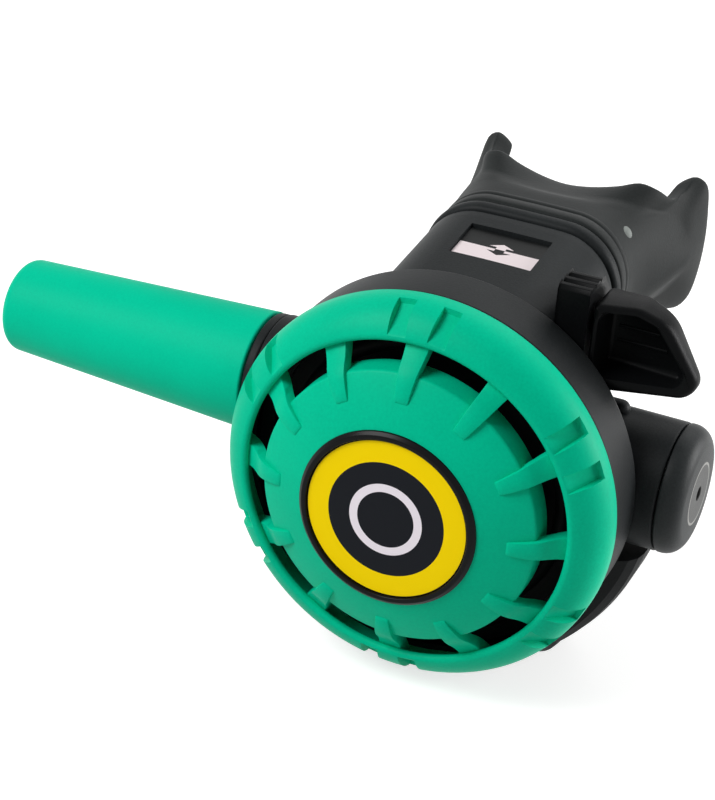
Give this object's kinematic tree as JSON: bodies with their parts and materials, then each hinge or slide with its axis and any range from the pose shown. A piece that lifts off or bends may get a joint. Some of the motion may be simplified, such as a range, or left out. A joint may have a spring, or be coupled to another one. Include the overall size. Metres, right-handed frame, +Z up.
{
  "type": "scuba regulator second stage",
  "caption": "Scuba regulator second stage: round case with ribbed cover and purge button, side valve with sleeved hose end, flow lever, exhaust tee and mouthpiece.",
  "frame": {"origin": "tip of the hose tail, on the valve's axis, where the low-pressure hose is pressed on", "axes": "+X along the valve from the hose to the end cap, +Y from the purge button to the mouthpiece, +Z up with the exhaust tee below"},
  "size_m": [0.1687, 0.1108, 0.0939],
  "materials": {
    "case_black": "fine matt moulded",
    "cover_green": "satin moulded",
    "dome_green": "satin moulded",
    "bezel_black": "semi-gloss",
    "badge_yellow": "printed, semi-gloss",
    "silicone_clear": "soft matt",
    "plate_white": "moulded",
    "chromed_brass": "polished",
    "brass": "machined",
    "stainless": "brushed",
    "seal_black": "matt",
    "mouth_rubber": "fine matt",
    "strap_black": "matt",
    "sleeve_green": "satin",
    "label_print": "printed",
    "collar_black": "satin"
  },
  "bodies": {
    "regulator_case": {"case_housing": "case_black", "cover_ring": "cover_green", "cover_slip_ring": "plate_white", "diaphragm": "silicone_clear", "valve_barrel": "chromed_brass", "barrel_nut": "chromed_brass", "barrel_o_rings": "seal_black", "orifice": "brass", "orifice_o_ring": "seal_black", "poppet_spring": "stainless", "spring_adjuster": "brass", "adjuster_o_ring": "seal_black", "end_cap": "case_black", "inlet_collar": "collar_black", "hose_swivel_nut": "chromed_brass", "hose_stem": "brass", "hose_stem_o_ring": "seal_black", "hose_ferrule": "chromed_brass", "hose_protector": "sleeve_green", "mouthpiece": "mouth_rubber", "mouthpiece_clamp": "strap_black", "exhaust_valve": "silicone_clear", "exhaust_tee": "case_black", "label_plate": "label_print"},
    "purge_button": {"purge_dome": "dome_green", "badge_bezel": "bezel_black", "badge_disc": "badge_yellow"},
    "sensing_plate": {"diaphragm_plate": "stainless"},
    "lever_arm": {"demand_lever": "stainless"},
    "poppet_unit": {"poppet": "plate_white", "poppet_seat": "seal_black"},
    "venturi_unit": {"venturi_lever": "case_black", "venturi_vane": "case_black", "venturi_o_ring": "seal_black"}
  },
  "joints": [
    {"name": "purge_press", "type": "slide", "parent": "regulator_case", "child": "purge_button", "axis": [0, 1, 0], "range_m": [0, 0.004], "stiffness_N_per_m": 800},
    {"name": "diaphragm_travel", "type": "slide", "parent": "regulator_case", "child": "sensing_plate", "axis": [0, 1, 0], "range_m": [0, 0.004], "deforming": ["diaphragm"]},
    {"name": "demand_lever_tilt", "type": "hinge", "parent": "regulator_case", "child": "lever_arm", "pos_m": [0.1132, -0.008, 0], "axis": [0, 0, -1], "range_deg": [0, 10.5]},
    {"name": "poppet_lift", "type": "slide", "parent": "regulator_case", "child": "poppet_unit", "axis": [1, 0, 0], "range_m": [0, 0.00146], "stiffness_N_per_m": 600, "deforming": ["poppet_spring"]},
    {"name": "venturi_swing", "type": "hinge", "parent": "regulator_case", "child": "venturi_unit", "pos_m": [0.1152, -0.0049, 0.0346], "axis": [1, 0, 0], "range_deg": [0, 40]}
  ],
  "couplings": [
    {"joint": "diaphragm_travel", "follows": "purge_press", "ratio": 1},
    {"joint": "demand_lever_tilt", "follows": "purge_press", "rad_per_m": 45.45},
    {"joint": "poppet_lift", "follows": "purge_press", "ratio": 0.3636}
  ]
}
